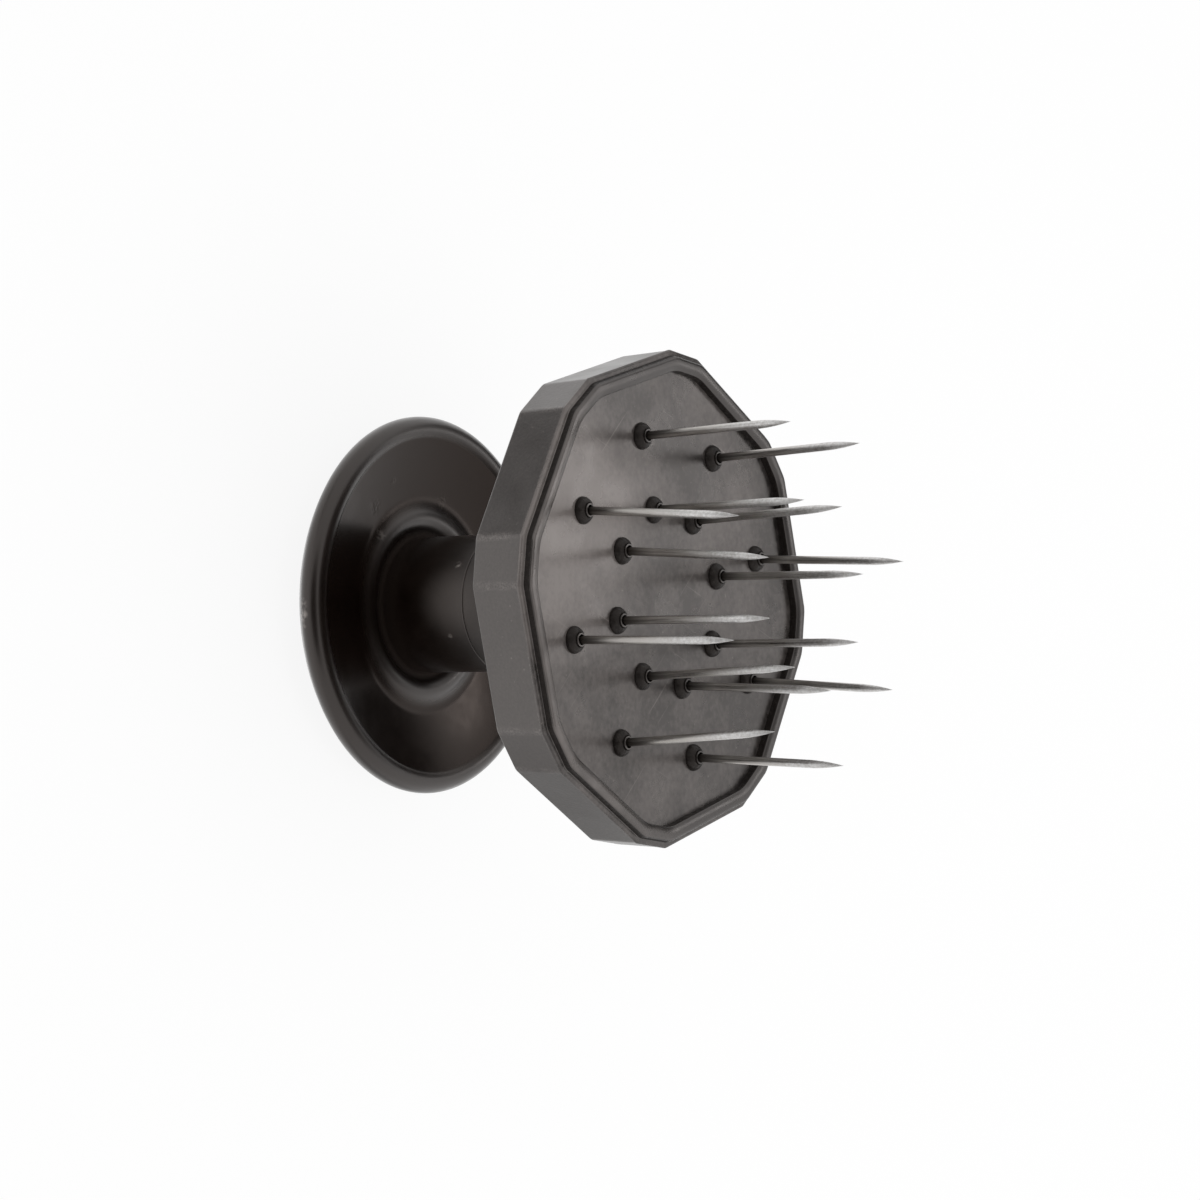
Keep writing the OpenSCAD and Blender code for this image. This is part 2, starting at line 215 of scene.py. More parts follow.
def lathe(section, segments):
    """Mesh turned about z from section points (radius, height) that start and end on the axis."""
    turns = [2 * pi * i / segments for i in range(segments)]
    rings = [[Vector((r * cos(t), r * sin(t), z)) for t in turns] for r, z in section[1:-1]]
    made = bmesh.new()
    ends = [made.verts.new((0, 0, z * MM)) for _, z in (section[0], section[-1])]
    loops = [[made.verts.new(p * MM) for p in ring] for ring in rings]
    for j in range(segments):
        k = (j + 1) % segments
        made.faces.new((ends[0], loops[0][k], loops[0][j]))
        made.faces.new((ends[1], loops[-1][j], loops[-1][k]))
        for low, high in zip(loops, loops[1:]):
            made.faces.new((low[j], low[k], high[k], high[j]))
    return made


def new_object(name, made):
    """Object in the scene with a mesh that is finished."""
    mesh = bpy.data.meshes.new(name)
    made.to_mesh(mesh)
    made.free()
    thing = bpy.data.objects.new(name, mesh)
    scene.collection.objects.link(thing)
    return thing


def new_piece(name, made, material, place=Matrix(), sharp_angle=35):
    """Piece from a mesh, smooth except at sharp edges, set in the part's frame on its only body."""
    for face in made.faces:
        face.smooth = True
    for edge in made.edges:
        edge.smooth = len(edge.link_faces) == 2 and edge.calc_face_angle(0) < radians(sharp_angle)
    piece = new_object(name, made)
    piece.data.materials.append(material)
    piece.matrix_world = place
    normals = piece.modifiers.new("even_normals", "WEIGHTED_NORMAL")
    normals.keep_sharp = True
    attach(piece, "root")
    return piece


def combine(piece, tool, operation):
    """Adds a tool's shape to a piece or cuts it out, ahead of the piece's shading, and removes the tool."""
    step = piece.modifiers.new(operation.lower(), "BOOLEAN")
    step.operation = operation
    step.object = tool
    step.solver = "EXACT"
    bpy.context.view_layer.objects.active = piece
    bpy.ops.object.modifier_move_to_index(modifier=step.name, index=0)
    bpy.ops.object.modifier_apply(modifier=step.name)
    bpy.data.objects.remove(tool)


def heading(way):
    """Angle of a direction in a section, in degrees."""
    return degrees(atan2(way.y, way.x))


def meeting(a, ra, b, rb):
    """Section point ra from a and rb from b, on the right of the way from a to b."""
    ahead = (b - a).normalized()
    along = ((b - a).length_squared + ra ** 2 - rb ** 2) / (2 * (b - a).length)
    return a + along * ahead + sqrt(ra ** 2 - along ** 2) * Vector((ahead.y, -ahead.x))


knob_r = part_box("palm_knob")[1].x / MM
seam_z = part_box("head_casing")[0].z / MM
spigot_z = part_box("palm_knob")[1].z / MM
palm_flat_r = 20
rim_r = 2.3
rim_z = 7.3
crease_angle = 37
crease_r = 1.5
dish_r = 90
dish_z = 6.2
bead_middle_r = 15.3
bead_h = 1.4
bead_r = 2.7
cove_r = 5
valley_r = 0.8
neck_r = 12
seam_round = 0.2
core_r = 8.4
palm_wall = 4
screw_boss_r = 4.6
pilot_r = 2.55
pilot_depth = 18
rib_reach = 8.55
rib_t = 2.2
rib_sink = 1
overlap = 0.5
knob_segments = 192
rim = Vector((knob_r - rim_r, rim_z))
palm_r = ((rim.x - palm_flat_r) ** 2 + rim_z ** 2 - rim_r ** 2) / (2 * (rim_z - rim_r))
palm = Vector((palm_flat_r, palm_r))
bead = Vector((bead_middle_r, dish_z + bead_h - bead_r))
rim_edge = rim + rim_r * Vector((-sin(radians(crease_angle)), cos(radians(crease_angle))))
dish = meeting(rim_edge, dish_r, Vector((bead.x, dish_z)), dish_r)
crease = meeting(dish, dish_r - crease_r, rim, rim_r + crease_r)
cove = meeting(bead, bead_r + cove_r, dish, dish_r - cove_r)
valley_x = neck_r + valley_r
valley_z = bead.y + sqrt((bead_r + valley_r) ** 2 - (bead.x - valley_x) ** 2)
valley = Vector((valley_x, valley_z))
knob_section = (
    [(0, 0)]
    + bend(*palm, palm_r, -90, heading(rim - palm), 16)
    + bend(*rim, rim_r, heading(rim - palm), heading(crease - rim), 40)[1:]
    + bend(*crease, crease_r, heading(rim - crease), heading(crease - dish), 4)[1:]
    + bend(*dish, dish_r, heading(crease - dish), heading(cove - dish), 24)[1:]
    + bend(*cove, cove_r, heading(cove - dish), heading(bead - cove), 14)[1:]
    + bend(*bead, bead_r, heading(cove - bead), heading(valley - bead), 20)[1:]
    + bend(*valley, valley_r, heading(bead - valley), -180, 16)[1:]
    + bend(neck_r - seam_round, seam_z - seam_round, seam_round, 0, 90)
    + [(core_r, seam_z), (core_r, palm_wall), (screw_boss_r, palm_wall), (screw_boss_r, spigot_z)]
    + [(pilot_r, spigot_z), (pilot_r, spigot_z - pilot_depth), (0, spigot_z - pilot_depth)]
)
knob_finish = polished_abs()
knob = new_piece("knob_moulding", lathe(knob_section, knob_segments), knob_finish)
# Four ribs between the screw boss and the neck's bore
rib_start = screw_boss_r - overlap
rib_foot_z = palm_wall - rib_sink
rib_size = Vector((rib_reach - rib_start, rib_t, spigot_z - rib_foot_z)) * MM
rib_middle = Vector((rib_reach + rib_start, 0, spigot_z + rib_foot_z)) * MM / 2
rib_shape = Matrix.Translation(rib_middle) @ Matrix.Diagonal(rib_size.to_4d())
for quarter in range(4):
    rib = bmesh.new()
    bmesh.ops.create_cube(rib, size=1)
    turned = Matrix.Rotation(quarter * pi / 2, 4, "Z") @ rib_shape
    bmesh.ops.transform(rib, matrix=turned, verts=rib.verts)
    combine(knob, new_object("rib", rib), "UNION")
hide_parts("palm_knob")

# Head casing
# An octagonal cup with cut corners and the hollow neck on its back, moulded in one piece from the
# same ABS in a finely blasted mould. Its upright edges are paler, partly from wear on worktops and
# partly as a painted highlight.
CORNERS = 16
TURN = 2 * pi / CORNERS
front_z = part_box("head_casing")[1].z / MM
back_z = front_z - 9.5
floor_z = back_z + 2.4
flange_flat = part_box("needle_carrier")[1].x / MM
casing_flat = flange_flat - 0.1
plate_flat = flange_flat - 3.6
corner_lead = 1.6
corner_r = 1.5
plate_corner_r = 9
neck_bore_r = 8.65


def head_points(flat):
    """Plan of the head whose flats lie at that distance: flats, cut corners and round edges between,
    rounder towards the plate. Each point comes with its share of an edge: 1 on it, 0 on the flats."""
    arc_steps = 6
    flat_steps = 7
    edge_fade = 0.5
    inward = min(max((flange_flat - flat) / (flange_flat - plate_flat), 0), 1)
    r = corner_r + (plate_corner_r - corner_r) * inward
    arcs = []
    for m in range(CORNERS):
        near = flat - r + (m % 2) * corner_lead
        far = flat - r + ((m + 1) % 2) * corner_lead
        middle = Vector((near, (far - near * cos(TURN)) / sin(TURN)))
        bends = [TURN * i / arc_steps for i in range(arc_steps + 1)]
        arc = [middle + r * Vector((cos(t), sin(t))) for t in bends]
        arcs.append([Matrix.Rotation(m * TURN, 2) @ p for p in arc])
    points = []
    for arc, following in zip(arcs, arcs[1:] + arcs[:1]):
        points += [(p, 1.0) for p in arc]
        along = (following[0] - arc[-1]).normalized()
        first = arc[-1] + edge_fade * along
        last = following[0] - edge_fade * along
        points += [(first.lerp(last, i / flat_steps), 0.0) for i in range(flat_steps + 1)]
    return points


def skin(rings, joined):
    """Mesh of quads between rings of as many points each, joined end to end or closed with caps."""
    made = bmesh.new()
    loops = [[made.verts.new(p * MM) for p in ring] for ring in rings]
    count = len(loops[0])
    pairs = list(zip(loops, loops[1:] + loops[:1])) if joined else list(zip(loops, loops[1:]))
    for low, high in pairs:
        for j in range(count):
            k = (j + 1) % count
            made.faces.new((low[j], low[k], high[k], high[j]))
    if not joined:
        made.faces.new(loops[0])
        made.faces.new(loops[-1])
    bmesh.ops.recalc_face_normals(made, faces=made.faces)
    return made


def head_ring(section_point):
    """The head's plan at the distance and height of a section point."""
    x, z = section_point
    return [Vector((p.x, p.y, z)) for p, _ in head_points(x)]


def round_ring(section_point):
    """A circle with one point for each point of the head's plan, so that the two can be joined."""
    r, z = section_point
    turns = [atan2(p.y, p.x) for p, _ in head_points(casing_flat)]
    return [Vector((r * cos(t), r * sin(t), z)) for t in turns]


def grained_abs():
    """ABS from a blasted mould: half matt, finely grained, paler along the edges, partly from wear and
    partly as a painted highlight.
    """
    material, tree, place = start_material("grained_abs")
    mottle = add(tree, "ShaderNodeTexNoise", {"Vector": place, "Scale": per_metre(6), "Detail": 4.0})
    grain = add(tree, "ShaderNodeTexNoise", {"Vector": place, "Scale": per_metre(0.5), "Detail": 4.0})
    body = add(tree, "ShaderNodeMix", {
        "Factor": grain.outputs["Fac"], "A": linear("#0c0a09"), "B": linear("#3c3734"),
    }, data_type="RGBA")
    # Paler along the edges: partly wear, partly a painted highlight
    edge = add(tree, "ShaderNodeAttribute", attribute_name="edge")
    ragged = add(tree, "ShaderNodeTexNoise", {"Vector": place, "Scale": per_metre(0.3), "Detail": 8.0})
    ragged_paling = add(tree, "ShaderNodeMapRange", {
        "Value": ragged.outputs["Fac"], "From Min": 0.4, "From Max": 0.7, "To Min": 0.0, "To Max": 1.0,
    })
    runs = add(tree, "ShaderNodeTexNoise", {"Vector": place, "Scale": per_metre(5), "Detail": 2.0})
    runs = add(tree, "ShaderNodeMapRange", {
        "Value": runs.outputs["Fac"], "From Min": 0.4, "From Max": 0.6, "To Min": 0.15, "To Max": 0.9,
    })
    ragged_paling = add(tree, "ShaderNodeMath", {
        0: ragged_paling.outputs["Result"], 1: runs.outputs["Result"],
    }, operation="MULTIPLY")
    wear_highlight_and_nicks = add(tree, "ShaderNodeMath", {
        0: edge.outputs["Fac"], 1: ragged_paling.outputs["Value"],
    }, operation="MULTIPLY")
    # Nicks show as pale specks
    specks = add(tree, "ShaderNodeTexNoise", {"Vector": place, "Scale": per_metre(0.7), "Detail": 2.0})
    specks = add(tree, "ShaderNodeMapRange", {
        "Value": specks.outputs["Fac"], "From Min": 0.7, "From Max": 0.78, "To Min": 0.0, "To Max": 0.6,
    })
    wear_highlight_and_nicks = add(tree, "ShaderNodeMath", {
        0: wear_highlight_and_nicks.outputs["Value"], 1: specks.outputs["Result"],
    }, operation="MAXIMUM")
    colour = add(tree, "ShaderNodeMix", {
        "Factor": wear_highlight_and_nicks.outputs["Value"], "A": body.outputs["Result"], "B": linear("#68625f"),
    }, data_type="RGBA")
    bump = add(tree, "ShaderNodeBump", {
        "Height": grain.outputs["Fac"], "Strength": 0.8, "Distance": 0.05 * MM,
    })
    gloss = add(tree, "ShaderNodeMapRange", {
        "Value": mottle.outputs["Fac"], "From Min": 0.3, "From Max": 0.7, "To Min": 0.28, "To Max": 0.4,
    })
    shader = add(tree, "ShaderNodeBsdfPrincipled", {
        "Base Color": colour.outputs["Result"], "Roughness": gloss.outputs["Result"], "IOR": 1.53,
        "Specular IOR Level": 1.0, "Specular Tint": linear("#fff6f2"), "Normal": bump.outputs["Normal"],
        "Coat Weight": 0.4, "Coat Roughness": 0.3,
    })
    add(tree, "ShaderNodeOutputMaterial", {"Surface": shader.outputs["BSDF"]})
    return material


neck_fillet = 2
back_round = 0.5
front_round = 0.06
seam_wear = 0.4
seam_lead = 0.02
casing_draft = 0.4
pocket_flat = casing_flat - 2.3
pocket_fillet = 1
bore_end_z = floor_z - 2.8
screw_hole_r = 2.75
neck_section = (
    [(neck_bore_r, seam_z)]
    + bend(neck_r - seam_round, seam_z + seam_round, seam_round, -90, 0)
    + bend(neck_r + neck_fillet, back_z - neck_fillet, neck_fillet, 180, 90, 10)
)
cup_section = (
    bend(casing_flat - casing_draft - back_round, back_z + back_round, back_round, -90, 0)
    + [(casing_flat - seam_lead, front_z - seam_wear)]
    + bend(casing_flat - front_round, front_z - front_round, front_round, 0, 90)
    + [(pocket_flat, front_z)]
    + bend(pocket_flat - pocket_fillet, floor_z + pocket_fillet, pocket_fillet, 0, -90)
)
bore_section = [(screw_hole_r, floor_z), (screw_hole_r, bore_end_z), (neck_bore_r, bore_end_z)]
casing_rings = (
    [round_ring(p) for p in neck_section]
    + [head_ring(p) for p in cup_section]
    + [round_ring(p) for p in bore_section]
)
casing = new_piece("casing_moulding", skin(casing_rings, joined=True), grained_abs())
# Fingers have polished the neck like the knob
casing.data.materials.append(knob_finish)
neck_end_z = back_z - 0.1
for face in casing.data.polygons:
    face.material_index = 1 if face.center.z < neck_end_z * MM else 0
# The cup's corners and its edge at the seam are paler: partly wear, partly a painted highlight along the
# edges
edge_share = [share for _, share in head_points(casing_flat)]
paled_edge_rings = range(len(neck_section), len(neck_section) + len(cup_section))
edge = casing.data.attributes.new("edge", "FLOAT", "POINT")
for i in paled_edge_rings:
    for j, (point, share) in enumerate(zip(casing_rings[i], edge_share)):
        at_seam = point.z > front_z - 0.5 * seam_wear
        edge.data[i * len(edge_share) + j].value = 1.0 if at_seam else share
# Two rings on the floor of the cup bear on the needles' heads
bearing_w = 4.2
bearing_z = front_z - 2.5
for ring_r in (28, 15.3):
    near_r, far_r = ring_r - bearing_w / 2, ring_r + bearing_w / 2
    low_z = floor_z - overlap
    corners = [(near_r, low_z), (far_r, low_z), (far_r, bearing_z), (near_r, bearing_z)]
    bearing = skin([round_ring(p) for p in corners], joined=True)
    combine(casing, new_object("bearing_ring", bearing), "UNION")
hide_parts("head_casing")

# Stem screw and washer
# A zinc-plated self-tapping screw with a pan head, and a flat washer under it, inside the casing.
# They draw the neck down onto the knob and can't be seen once the needle plate is in.


def zinc_plate():
    """Zinc plating: pale grey metal with a soft, slightly patchy shine."""
    material, tree, place = start_material("zinc_plate")
    patch = add(tree, "ShaderNodeTexNoise", {"Vector": place, "Scale": per_metre(1.5), "Detail": 4.0})
    colour = add(tree, "ShaderNodeMix", {
        "Factor": patch.outputs["Fac"], "A": linear("#a9abad"), "B": linear("#c6c7c8"),
    }, data_type="RGBA")
    gloss = add(tree, "ShaderNodeMapRange", {
        "Value": patch.outputs["Fac"], "From Min": 0.3, "From Max": 0.7, "To Min": 0.28, "To Max": 0.45,
    })
    shader = add(tree, "ShaderNodeBsdfPrincipled", {
        "Base Color": colour.outputs["Result"], "Metallic": 1.0, "Roughness": gloss.outputs["Result"],
    })
    add(tree, "ShaderNodeOutputMaterial", {"Surface": shader.outputs["BSDF"]})
    return material


def dress(node, material, crease_limit=17):
    """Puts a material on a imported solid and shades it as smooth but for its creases."""
    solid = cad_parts[node]
    solid.data.materials.clear()
    solid.data.materials.append(material)
    join = solid.modifiers.new("join_faces", "WELD")
    join.merge_threshold = 0.001 * MM
    crease = solid.modifiers.new("keep_creases", "EDGE_SPLIT")
    crease.split_angle = radians(crease_limit)
    solid.modifiers.new("even_normals", "WEIGHTED_NORMAL")


plating = zinc_plate()
for node in ("stem_screw", "screw_washer"):
    dress(node, plating)

# Needles
# Sixteen loose nails of drawn steel wire with long bowed points, dropped into the plate from behind.
# The shank is dull from the die, and the point is ground bright.
needle_names = sorted(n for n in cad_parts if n.startswith("needle_") and n[-1].isdigit())
wire_r = 0.7
point_len = 7
nail_head_r = 1.7
nail_head_t = 1
nail_head_edge = 0.2
needle_segments = 32
point_steps = 12


def needle_axis(node):
    """Middle of the back of a needle's head, and its tip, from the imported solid."""
    points = [v.co.copy().freeze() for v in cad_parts[node].data.vertices]
    tip = max(points, key=lambda p: p.z)
    farthest = max((p - tip).length for p in points)
    on_edge = [p for p in points if (p - tip).length > farthest - 0.01 * MM]
    back_edge = {tuple(round(c, 6) for c in p) for p in on_edge}
    return sum((Vector(p) for p in back_edge), Vector()) / len(back_edge), tip


def drawn_steel():
    """Drawn steel wire: grey lengthwise die marks, darkened at the root by painted shade, brighter on the
    ground point.
    """
    material, tree, place = start_material("drawn_steel")
    along = add(tree, "ShaderNodeSeparateXYZ", {"Vector": place}).outputs["Z"]
    stretch = add(tree, "ShaderNodeMapping", {"Vector": place, "Scale": (1.0, 1.0, 0.04)})
    streak = add(tree, "ShaderNodeTexNoise", {
        "Vector": stretch.outputs["Vector"], "Scale": per_metre(0.3), "Detail": 5.0,
    })
    wire = add(tree, "ShaderNodeMix", {
        "Factor": streak.outputs["Fac"], "A": linear("#7d7873"), "B": linear("#f6f2ed"),
    }, data_type="RGBA")
    # The point is ground, which leaves it bright and pitted
    pits = add(tree, "ShaderNodeTexNoise", {"Vector": place, "Scale": per_metre(0.5), "Detail": 5.0})
    point = add(tree, "ShaderNodeMix", {
        "Factor": pits.outputs["Fac"], "A": linear("#a39e99"), "B": linear("#ffffff"),
    }, data_type="RGBA")
    ground = add(tree, "ShaderNodeMapRange", {
        "Value": along, "From Min": 16 * MM, "From Max": 24 * MM, "To Min": 0.0, "To Max": 1.0,
    })
    bright = add(tree, "ShaderNodeMix", {
        "Factor": ground.outputs["Result"], "A": wire.outputs["Result"], "B": point.outputs["Result"],
    }, data_type="RGBA")
    # Painted shade darkens the root, next to the plate
    root = add(tree, "ShaderNodeMapRange", {
        "Value": along, "From Min": 4.5 * MM, "From Max": 10 * MM, "To Min": 0.0, "To Max": 1.0,
    })
    colour = add(tree, "ShaderNodeMix", {
        "Factor": root.outputs["Result"], "A": linear("#46413d"), "B": bright.outputs["Result"],
    }, data_type="RGBA")
    gloss = add(tree, "ShaderNodeMapRange", {
        "Value": streak.outputs["Fac"], "From Min": 0.3, "From Max": 0.7, "To Min": 0.25, "To Max": 0.45,
    })
    bump = add(tree, "ShaderNodeBump", {
        "Height": pits.outputs["Fac"], "Strength": 0.3, "Distance": 0.06 * MM,
    })
    shader = add(tree, "ShaderNodeBsdfPrincipled", {
        "Base Color": colour.outputs["Result"], "Metallic": 1.0, "Roughness": gloss.outputs["Result"],
        "Normal": bump.outputs["Normal"],
    })
    add(tree, "ShaderNodeOutputMaterial", {"Surface": shader.outputs["BSDF"]})
    return material


steel = drawn_steel()
for node in needle_names:
    foot, tip = needle_axis(node)
    length = (tip - foot).length / MM
    bow_r = (point_len ** 2 + wire_r ** 2) / (2 * wire_r)
    taper = [point_len * i / point_steps for i in range(point_steps)]
    point = [(sqrt(bow_r ** 2 - t ** 2) - bow_r + wire_r, length - point_len + t) for t in taper]
    nail = [
        (0, 0), (nail_head_r - nail_head_edge, 0), (nail_head_r, nail_head_edge),
        (nail_head_r, nail_head_t - nail_head_edge), (nail_head_r - nail_head_edge, nail_head_t),
        (wire_r, nail_head_t),
    ] + point + [(0, length)]
    place = Matrix.Translation(foot) @ (tip - foot).to_track_quat("Z", "Y").to_matrix().to_4x4()
    piece = new_piece("wire_" + node, lathe(nail, needle_segments), steel, place)
    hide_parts(node)

# Needle plate
# The front moulding of the head, of the same ABS: a flange over the casing's edge, a stepped lip, and
# the sunk plate with a low domed boss round each needle. Its skirt plugs into the casing's cup.
flange_z = front_z + 0.6
plate_z = flange_z - 0.3
plate_back_z = plate_z - 2.8
land_z = plate_z + 1.6
land_out = flange_flat - 1.1
land_in = land_out - 1
slope_end = land_in - 1.4
slope_end_z = land_z - 0.4
boss_r = 2.3
boss_h = 1.6
hole_r = 0.9
counterbore_r = 2.1
counterbore_depth = 1.35
skirt_flat = pocket_flat - 0.1
skirt_in = skirt_flat - 1.4
skirt_z = floor_z + 1.4
skirt_lead = 0.4
# Middle of the highlight painted on the plate
plate_highlight_place = Vector((-21, -25, 59)) * MM


def handled_abs():
    """ABS that has been wiped and scratched in use: uneven sheen, hairlines, soft stains, and a painted
    highlight near one edge.
    """
    material, tree, place = start_material("handled_abs")
    cloud = add(tree, "ShaderNodeTexNoise", {"Vector": place, "Scale": per_metre(9), "Detail": 5.0})
    body = add(tree, "ShaderNodeMix", {
        "Factor": cloud.outputs["Fac"], "A": linear("#100e0d"), "B": linear("#191614"),
    }, data_type="RGBA")
    # Painted highlight: a pale patch near one edge stands in for the reflection that edge catches, and
    # wiping leaves an uneven haze across the plate
    highlight_patch = add(tree, "ShaderNodeVectorMath", {0: place, 1: plate_highlight_place}, operation="DISTANCE")
    highlight_patch = add(tree, "ShaderNodeMapRange", {
        "Value": highlight_patch.outputs["Value"], "From Min": 5 * MM, "From Max": 28 * MM,
        "To Min": 0.95, "To Max": 0.0,
    }, interpolation_type="SMOOTHSTEP")
    wiped = add(tree, "ShaderNodeTexNoise", {"Vector": place, "Scale": per_metre(14), "Detail": 4.0})
    wiped = add(tree, "ShaderNodeMapRange", {
        "Value": wiped.outputs["Fac"], "From Min": 0.37, "From Max": 0.67, "To Min": 0.0, "To Max": 0.45,
    })
    highlight_and_wear = add(tree, "ShaderNodeMath", {
        0: highlight_patch.outputs["Result"], 1: wiped.outputs["Result"],
    }, operation="ADD")
    # Finger smudges and rag streaks run across it
    streaked = add(tree, "ShaderNodeMapping", {
        "Vector": place, "Rotation": (0, 0, radians(12)), "Scale": (3.5, 1, 1),
    }, vector_type="TEXTURE")
    smudge = add(tree, "ShaderNodeTexNoise", {
        "Vector": streaked.outputs["Vector"], "Scale": per_metre(3.5), "Detail": 6.0,
    })
    smudge = add(tree, "ShaderNodeMapRange", {
        "Value": smudge.outputs["Fac"], "From Min": 0.3, "From Max": 0.7, "To Min": -0.06, "To Max": 0.08,
    })
    highlight_and_wear = add(tree, "ShaderNodeMath", {
        0: highlight_and_wear.outputs["Value"], 1: smudge.outputs["Result"],
    }, operation="ADD")
    # Dried wash water mottles it finely
    mottle = add(tree, "ShaderNodeTexNoise", {"Vector": place, "Scale": per_metre(0.9), "Detail": 6.0})
    mottle = add(tree, "ShaderNodeMapRange", {
        "Value": mottle.outputs["Fac"], "From Min": 0.3, "From Max": 0.7, "To Min": -0.17, "To Max": 0.17,
    })
    highlight_and_wear = add(tree, "ShaderNodeMath", {
        0: highlight_and_wear.outputs["Value"], 1: mottle.outputs["Result"],
    }, operation="ADD")
    # Nicks show as pale specks
    specks = add(tree, "ShaderNodeTexNoise", {"Vector": place, "Scale": per_metre(0.8), "Detail": 2.0})
    specks = add(tree, "ShaderNodeMapRange", {
        "Value": specks.outputs["Fac"], "From Min": 0.71, "From Max": 0.78, "To Min": 0.0, "To Max": 0.6,
    })
    highlight_and_wear = add(tree, "ShaderNodeMath", {
        0: highlight_and_wear.outputs["Value"], 1: specks.outputs["Result"],
    }, operation="ADD")
    # Hairline scratches at two slants
    for slant in (28, -37):
        drawn_out = add(tree, "ShaderNodeMapping", {
            "Vector": place, "Rotation": (0, 0, radians(slant)), "Scale": (1, 40, 1),
        }, vector_type="TEXTURE")
        line = add(tree, "ShaderNodeTexNoise", {
            "Vector": drawn_out.outputs["Vector"], "Scale": per_metre(0.5), "Detail": 1.0,
        })
        line = add(tree, "ShaderNodeMapRange", {
            "Value": line.outputs["Fac"], "From Min": 0.72, "From Max": 0.8, "To Min": 0.0, "To Max": 0.5,
        })
        highlight_and_wear = add(tree, "ShaderNodeMath", {
            0: highlight_and_wear.outputs["Value"], 1: line.outputs["Result"],
        }, operation="ADD")
    # All of that shows on the flat plate and on the flange, and not on the lip or the bosses
    axes = add(tree, "ShaderNodeSeparateXYZ", {"Vector": place})
    height = axes.outputs["Z"]
    flat = add(tree, "ShaderNodeMapRange", {
        "Value": height, "From Min": (plate_z + 0.03) * MM, "From Max": (plate_z + 0.12) * MM,
        "To Min": 1.0, "To Max": 0.0,
    })
    low = add(tree, "ShaderNodeMapRange", {
        "Value": height, "From Min": (flange_z + 0.03) * MM, "From Max": (flange_z + 0.12) * MM,
        "To Min": 1.0, "To Max": 0.0,
    })
    sideways = add(tree, "ShaderNodeVectorMath", {0: place, 1: (1, 1, 0)}, operation="MULTIPLY")
    outside = add(tree, "ShaderNodeVectorMath", {0: sideways.outputs["Vector"]}, operation="LENGTH")
    outside = add(tree, "ShaderNodeMath", {
        0: outside.outputs["Value"], 1: (land_out - 0.3) * MM,
    }, operation="GREATER_THAN")
    flange = add(tree, "ShaderNodeMath", {
        0: low.outputs["Result"], 1: outside.outputs["Value"],
    }, operation="MULTIPLY")
    flat = add(tree, "ShaderNodeMath", {
        0: flat.outputs["Result"], 1: flange.outputs["Value"],
    }, operation="MAXIMUM")
    highlight_and_wear = add(tree, "ShaderNodeMath", {
        0: highlight_and_wear.outputs["Value"], 1: flat.outputs["Value"],
    }, operation="MULTIPLY")
    # The land of the lip is paler on the near side, towards -y, in ragged patches
    land = add(tree, "ShaderNodeMapRange", {
        "Value": height, "From Min": (land_z - 0.35) * MM, "From Max": (land_z - 0.1) * MM,
        "To Min": 0.0, "To Max": 0.6,
    })
    near = add(tree, "ShaderNodeMapRange", {
        "Value": axes.outputs["Y"], "From Min": -30 * MM, "From Max": -5 * MM, "To Min": 1.0, "To Max": 0.0,
    })
    ragged = add(tree, "ShaderNodeTexNoise", {"Vector": place, "Scale": per_metre(5), "Detail": 3.0})
    ragged = add(tree, "ShaderNodeMapRange", {
        "Value": ragged.outputs["Fac"], "From Min": 0.35, "From Max": 0.65, "To Min": 0.6, "To Max": 1.3,
    })
    land = add(tree, "ShaderNodeMath", {
        0: land.outputs["Result"], 1: ragged.outputs["Result"],
    }, operation="MULTIPLY")
    # Share of paleness: the land's patches, plus the painted highlight and the wear marks on the plate
    zone_share = add(tree, "ShaderNodeMath", {
        0: land.outputs["Value"], 1: near.outputs["Result"], 2: highlight_and_wear.outputs["Value"],
    }, operation="MULTIPLY_ADD")
    colour = add(tree, "ShaderNodeMix", {
        "Factor": zone_share.outputs["Value"], "A": body.outputs["Result"], "B": linear("#66605d"),
    }, data_type="RGBA")
    gloss = add(tree, "ShaderNodeMapRange", {
        "Value": cloud.outputs["Fac"], "From Min": 0.3, "From Max": 0.7, "To Min": 0.25, "To Max": 0.34,
    })
    # Moulding leaves broad waves across the plate
    across = add(tree, "ShaderNodeMapping", {"Vector": place, "Scale": (0.35, 1.0, 1.0)})
    wave = add(tree, "ShaderNodeTexNoise", {
        "Vector": across.outputs["Vector"], "Scale": per_metre(18), "Detail": 2.0,
    })
    waves = add(tree, "ShaderNodeBump", {
        "Height": wave.outputs["Fac"], "Strength": 0.5, "Distance": 0.15 * MM,
    })
    # Fine grain of the mould
    grain = add(tree, "ShaderNodeTexNoise", {"Vector": place, "Scale": per_metre(0.5), "Detail": 3.0})
    bump = add(tree, "ShaderNodeBump", {
        "Height": grain.outputs["Fac"], "Strength": 0.15, "Distance": 0.02 * MM,
        "Normal": waves.outputs["Normal"],
    })
    shader = add(tree, "ShaderNodeBsdfPrincipled", {
        "Base Color": colour.outputs["Result"], "Roughness": gloss.outputs["Result"], "IOR": 1.53,
        "Specular IOR Level": 1.0, "Specular Tint": linear("#fff6f2"), "Normal": bump.outputs["Normal"],
    })
    add(tree, "ShaderNodeOutputMaterial", {"Surface": shader.outputs["BSDF"]})
    return material


